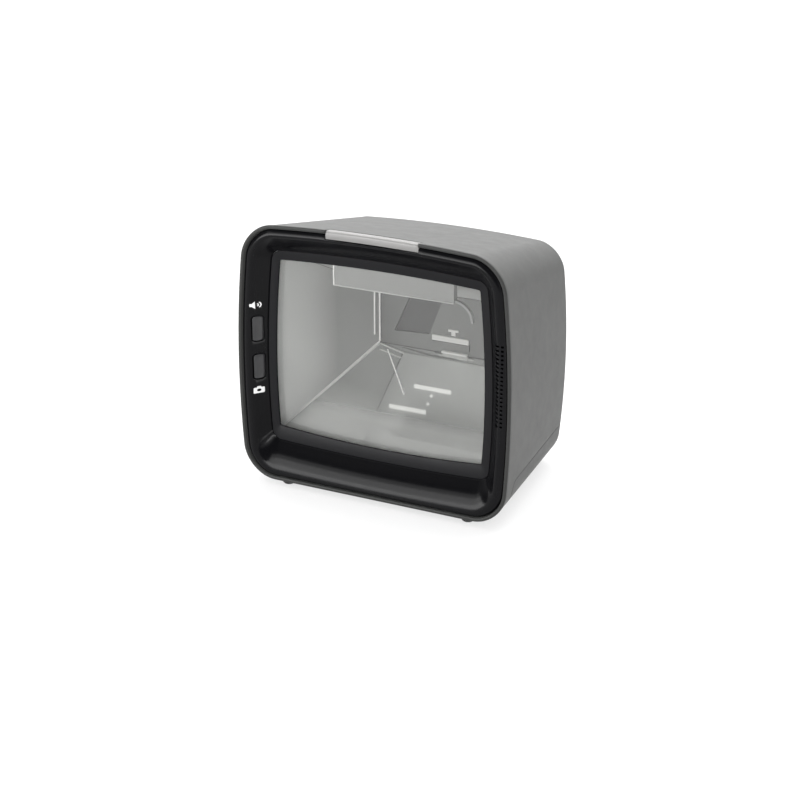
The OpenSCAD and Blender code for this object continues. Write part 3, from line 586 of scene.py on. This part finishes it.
PROFILE = [
    rim_profile(-0.2, 0.5, 0.6, 0.6, 15.0, 0.0),
    rim_profile(-1.0, 2.0, 2.2, 1.0, 14.0, 0.0),
    rim_profile(-1.1, 4.0, 3.8, 1.7, 12.5, 0.0001),
    rim_profile(-0.2, 5.6, 5.2, 5.0, 11.0, 0.0002),
    rim_profile(2.4, 7.6, 8.4, 10.2, 8.5, 0.0003),
    (FRAME_FRONT, *GROOVE, GROOVE_R, GROOVE_BOW),
]
BEZEL_BACK = 3.4


def spline(points, steps):
    """Catmull-Rom through points, steps to a span."""
    ext = [points[0], *points, points[-1]]
    out = []
    for i in range(1, len(ext) - 2):
        p0, p1, p2, p3 = ext[i - 1:i + 3]
        for k in range(steps):
            t = k / steps
            out.append(tuple(
                0.5 * (2 * b + (c - a) * t + (2 * a - 5 * b + 4 * c - d) * t * t
                       + (3 * b - a - 3 * c + d) * t ** 3)
                for a, b, c, d in zip(p0, p1, p2, p3)))
    out.append(points[-1])
    return out


def bezel_solid():
    """The bezel as a ring: over its front to the window frame, and back out behind."""
    rows = [raised(shell_row(1, WALL + 0.2), 1), raised(shell_row(0.3, WALL + 0.3), 0.3)]
    rows += [bezel_row(*p) for p in spline(PROFILE, 5)]
    rows.append(groove_row(FRAME_BACK, 0, GROOVE_R))
    rows.append(groove_row(FRAME_BACK, 1.2, 6))
    rows.append(bezel_row(*rim_profile(BEZEL_BACK, 4.6, 5, 5, 12.5, 0.0001)))
    rows.append(raised(shell_row(BEZEL_BACK, WALL + 0.2), BEZEL_BACK))
    return rows_object("front_ring", rows, ring=True)


def shifted(outline, dx, dz):
    return [(x + dx, z + dz) for x, z in outline]


def key_outline(z, inset):
    """Outline of the key at height z, moved in by inset."""
    half_h = BUTTON_HALF_H - inset
    r = max(0.15, BUTTON_R - inset)
    return shifted(rounded(BUTTON_HALF_W - inset, half_h, -half_h, r, 8, 2), -BUTTON_X, z)


ring = bezel_solid()
surface = BVHTree.FromObject(ring, bpy.context.evaluated_depsgraph_get())


def bezel_depth(x, z):
    """Local depth of the bezel's front surface at a local X and Z, in millimetres."""
    hit = surface.ray_cast(Vector((x / 1000, Y0 - 0.02, Z0 + z / 1000)), Vector((0, 1, 0)))[0]
    return (hit.y - Y0) * 1000 if hit else 0.0


slots = []
for i in range(GRILLE_ROWS):
    z = GRILLE_Z + (i - (GRILLE_ROWS - 1) / 2) * GRILLE_PITCH
    for x, w in GRILLE_COLUMNS:
        slot = rounded(w / 2, SLOT_H / 2, -SLOT_H / 2, SLOT_R, 3, 1)
        slots.append(through(shifted(slot, x + w / 2, z)))
cut(ring, joined("slots", slots))
for z in BUTTONS.values():
    cut(ring, through(key_outline(z, -BUTTON_GAP)))
cut(ring, light_room(PIECE_GAP))
ring.name = "bezel_ring"
bevel(ring, 0.18, 42)
smooth(ring, 38)
finish_piece(ring, BEZEL, stands_for=["front_bezel"])


# The window frame: its front edge, the slope down to the window and its back
inner_frame = rows_object("inner_frame", [
    groove_row(FRAME_FRONT + 0.1, -0.15, GROOVE_R - 0.2),
    groove_row(FRAME_FRONT, -0.3, GROOVE_R - 0.3),
    raised(window_row(0.35), FRAME_FRONT + 0.15),
    raised(window_row(0.08), FRAME_FRONT + 0.3),
    raised(window_row(0), FRAME_FRONT + 0.6),
    raised(window_row(0), FRAME_BACK),
    groove_row(FRAME_BACK, -0.15, GROOVE_R - 0.2),
], ring=True)
smooth(inner_frame)
finish_piece(inner_frame, FRAME, stands_for=["window_frame"])

# ---- status light ---------------------------------------------------------

# Section of the light bar in Y and Z, with the foot that faces the LEDs
BAR = [
    (-0.62, 134.4), (-0.7, 134.6), (-0.7, 137.2), (-0.62, 137.6), (-0.4, 138.0), (0.0, 138.4), (0.6, 138.6),
    (3.9, 138.1), (3.9, 136.1), (4.9, 135.9), (4.9, 129.6), (3.95, 129.6), (3.95, 134.4),
]
BAR_STEPS = 24
stations = [LIGHT_X + LIGHT_HW * (2 * i / BAR_STEPS - 1) for i in range(BAR_STEPS + 1)]
bar = rows_object("light_bar", [[at(x, y, z - TOP_BOW * x * x) for y, z in BAR] for x in stations])
bevel(bar, 0.12)
smooth(bar)
finish_piece(bar, LIGHT, stands_for=["status_light_bar"])

# ---- keys and icons -------------------------------------------------------

# Rounded edge and dish of a cap: inset from its side and depth behind the bezel's slope
CAP_FACE = [(0, 0.4), (0.1, 0.13), (0.28, -0.02), (0.5, -0.05), (0.9, 0.05), (1.3, 0.13), (1.65, 0.15)]


def key_cap(name, z, body, node):
    """A dished cap whose face follows the bezel's inward slope, with its retaining flange."""
    edge = SLOPE_START - SLOPE_BOW * (z - BOW_MID) ** 2
    flange = key_outline(z, -FLANGE_SIDE)
    rows = [raised(flange, FLANGE_BACK), raised(flange, FLANGE_FRONT),
            raised(key_outline(z, 0), FLANGE_FRONT), raised(key_outline(z, 0), 5.6)]
    for inset, sink in CAP_FACE:
        rows.append([at(x, (edge + x) * SLOPE_FALL + sink, zz) for x, zz in key_outline(z, inset)])
    cap = rows_object(name, rows)
    smooth(cap, 40)
    finish_piece(cap, BUTTON, body=body, stands_for=[node])


key_cap("volume_key_cap", BUTTONS["volume"], "volume_key", "volume_button")
key_cap("snapshot_key_cap", BUTTONS["snapshot"], "snapshot_key", "snapshot_button")


ICON_X, SPEAKER_ICON_Z, CAMERA_ICON_Z = -66.2, 93.5, 47.2
# How far the print stands on the bezel and reaches into it, and its pitch of cuts across
ICON_PROUD, ICON_SUNK, ICON_STEP, ICON_STEPS = 0.05, 0.12, 0.3, 10


def decal(name, shapes, cz):
    """Thin raised shapes that follow the bezel's surface. Each shape is an outline, or an
    outline and a hole of the same length. The cuts let the flat shapes bend."""
    bm = bmesh.new()
    for shape in shapes:
        outer, hole = shape if isinstance(shape, tuple) else (shape, None)
        loops = [[bm.verts.new((ICON_X + x, 0, cz + z)) for x, z in loop]
                 for loop in (outer, hole) if loop]
        if hole:
            for j in range(len(outer)):
                k = (j + 1) % len(outer)
                bm.faces.new((loops[0][j], loops[0][k], loops[1][k], loops[1][j]))
        else:
            bm.faces.new(loops[0])
    for i in range(-ICON_STEPS, ICON_STEPS + 1):
        bmesh.ops.bisect_plane(bm, geom=[*bm.verts, *bm.edges, *bm.faces],
                               plane_co=(ICON_X + i * ICON_STEP, 0, 0), plane_no=(1, 0, 0))
    front = list(bm.verts)
    lifted = bmesh.ops.extrude_face_region(bm, geom=list(bm.faces))["geom"]
    back = {v for v in lifted if isinstance(v, bmesh.types.BMVert)}
    for v in [*front, *back]:
        sink = ICON_SUNK if v in back else -ICON_PROUD
        x, z = v.co.x, v.co.z
        v.co = at(x, bezel_depth(x, z) + sink, z)
    bmesh.ops.recalc_face_normals(bm, faces=bm.faces)
    finish_piece(object_from(name, bm), ICON)


def arc_band(r0, r1, half, n=10):
    """A band between two radii that opens half degrees to each side of the X axis."""
    angles = [math.radians(half * (2 * i / n - 1)) for i in range(n + 1)]
    return [(r1 * math.cos(a), r1 * math.sin(a)) for a in angles] + [
        (r0 * math.cos(a), r0 * math.sin(a)) for a in reversed(angles)]


def along_rays(outline, r):
    """The circle of radius r met by rays from the centre through an outline's points."""
    return [(r * x / math.hypot(x, z), r * z / math.hypot(x, z)) for x, z in outline]


speaker = [(-2.3, -0.75), (-1.3, -0.75), (-0.1, -2.0), (-0.1, 2.0), (-1.3, 0.75), (-2.3, 0.75)]
waves = [arc_band(r, r + 0.42, 48) for r in (0.75, 1.65)]
decal("speaker_icon", [speaker, *waves], SPEAKER_ICON_Z)
camera_body = rounded(1.85, 1.45, -1.6, 0.4, 4, 3)
finder = [(-0.85, 1.4), (0.85, 1.4), (0.55, 2.1), (-0.55, 2.1)]
decal("camera_icon", [(camera_body, along_rays(camera_body, 0.75)), finder], CAMERA_ICON_Z)

# ---- chamber edges --------------------------------------------------------

# Half width, depth, bottom and top of the chamber at its two ends
CHAMBER_FRONT = (60.9, 11.7, 22.5, 121.0)
CHAMBER_REAR = (31.5, 70.0, 57.5, 89.5)


def bead(name, start, end, radius, mat=EDGE, sides=8):
    """A round-nosed strip of ground glass along a fold of the chamber, from start to end."""
    a, b = Vector(start), Vector(end)
    along = (b - a).normalized()
    across = along.cross(Vector((0, 0, 1)) if abs(along.z) < 0.9 else Vector((0, 1, 0))).normalized()
    other = along.cross(across)
    rows = []
    for t, share in ((0, 0.4), (0.004, 1), (0.996, 1), (1, 0.4)):
        centre = a + (b - a) * t
        angles = [2 * math.pi * i / sides for i in range(sides)]
        rows.append([at(*(centre + radius * share * (math.cos(angle) * across + math.sin(angle) * other)))
                     for angle in angles])
    obj = rows_object(name, rows)
    smooth(obj, 50)
    finish_piece(obj, mat)


half0, y0, low0, high0 = CHAMBER_FRONT
half1, y1, low1, high1 = CHAMBER_REAR
bead("lower_left_bead", (-half0 + 0.5, y0 + 0.8, low0 + 0.5), (-half1 + 0.2, y1 - 0.4, low1 + 0.3), 0.65)
bead("rear_left_bead", (-half1 + 0.4, y1 - 0.5, low1 + 0.5), (-half1 + 0.4, y1 - 0.5, high1 - 0.7), 0.55)
bead("mirror_end_bead", (-half1 - 1.2, y1 - 3.2, low1 + 5), (-half1 - 1.2, y1 - 3.2, high1 + 0.6), 0.45)
bead("lower_mirror_seam", (-24.9, 66.6, 55.4), (-3.4, 43.2, 41.3), 0.35)
RAIL_HW, RAIL_FRONT, RAIL_BASE, RAIL_H = 33.5, 24.0, 102.4, 11
rail_corner = (-RAIL_HW, RAIL_FRONT, RAIL_BASE)
bead("rail_front_bead", rail_corner, (RAIL_HW, RAIL_FRONT, RAIL_BASE), 0.4, CEILING)
bead("rail_end_bead", rail_corner, (-RAIL_HW, RAIL_FRONT, RAIL_BASE + RAIL_H), 0.4)

# ---- floor, light and camera ----------------------------------------------


def floor_plane(half, grey, glow):
    """A plain floor, half metres to each side, that also glows a little."""
    obj = new_object("floor", [Vector((sx * half, sy * half, 0))
                               for sx, sy in ((-1, -1), (1, -1), (1, 1), (-1, 1))], [(0, 1, 2, 3)])
    mat = bpy.data.materials.new("floor")
    mat.use_nodes = True
    shader = mat.node_tree.nodes["Principled BSDF"]
    shader.inputs["Base Color"].default_value = (grey, grey, grey, 1)
    shader.inputs["Roughness"].default_value = 0.9
    shader.inputs["Emission Color"].default_value = (1, 1, 1, 1)
    shader.inputs["Emission Strength"].default_value = glow
    obj.data.materials.append(mat)


floor_plane(6, 0.25, 0.68)


def studio_world(low, high, towards):
    """A soft room whose strength grows from low to high towards one direction."""
    world = bpy.data.worlds.new("studio")
    bpy.context.scene.world = world
    world.use_nodes = True
    tree = world.node_tree
    coords = tree.nodes.new("ShaderNodeTexCoord")
    facing = tree.nodes.new("ShaderNodeVectorMath")
    facing.operation = "DOT_PRODUCT"
    facing.inputs[1].default_value = towards
    ramp = tree.nodes.new("ShaderNodeMapRange")
    for key, value in zip(("From Min", "From Max", "To Min", "To Max"), (0.15, 1.3, low, high)):
        ramp.inputs[key].default_value = value
    tree.nodes["Background"].inputs["Color"].default_value = (1, 1, 1, 1)
    tree.links.new(coords.outputs["Generated"], facing.inputs[0])
    tree.links.new(facing.outputs["Value"], ramp.inputs["Value"])
    tree.links.new(ramp.outputs["Result"], tree.nodes["Background"].inputs["Strength"])


studio_world(0.12, 2.0, (-0.45, 1, 1))


def area(name, spot, aim, size, power):
    """A rectangular light at spot that faces aim, with its size in metres and power in watts."""
    data = bpy.data.lights.new(name, "AREA")
    data.shape, data.size, data.size_y, data.energy = "RECTANGLE", *size, power
    obj = linked(name, data)
    obj.location = spot
    obj.rotation_mode = "QUATERNION"
    obj.rotation_quaternion = (Vector(aim) - Vector(spot)).to_track_quat("-Z", "Y")


area("top_softbox", (-0.1, 0.3, 1.1), (0, 0, 0.1), (1.2, 0.9), 17)
area("right_softbox", (0.85, -0.8, 0.6), (0, 0, 0.08), (0.7, 1.0), 3)
area("right_strip", (0.74, -0.74, 0.8), (0, 0, 0.05), (0.16, 0.8), 5)
area("low_side_fill", (0.32, -0.1, 0.02), (0.07, 0.04, 0.03), (0.3, 0.04), 0.22)
for i, power in enumerate((8, 5, 2)):
    area(f"left_softbox_{i}", (-0.6, -1.1, 0.15 + 0.24 * i), (0, 0, 0.05), (0.9, 0.26), power)

# The camera's lens in millimetres, its place round the part and the point it looks at
FOCAL_LENGTH, CAMERA_DISTANCE = 82.2, 0.9
AZIMUTH, ELEVATION = math.radians(26.82), math.radians(21.49)
CAMERA_AIM = Vector((0.0161, -0.0476, 0.0600))
camera_data = bpy.data.cameras.new("camera")
camera_data.sensor_width = 36.0
camera_data.lens = FOCAL_LENGTH
camera_data.clip_start, camera_data.clip_end = 0.01, 50
camera = linked("camera", camera_data)
back = Vector((math.sin(AZIMUTH) * math.cos(ELEVATION),
               -math.cos(AZIMUTH) * math.cos(ELEVATION),
               math.sin(ELEVATION)))
camera.location = CAMERA_AIM + CAMERA_DISTANCE * back
camera.rotation_mode = "QUATERNION"
camera.rotation_quaternion = (-back).to_track_quat("-Z", "Y")
bpy.context.scene.camera = camera
bpy.context.scene.view_settings.view_transform = "Standard"
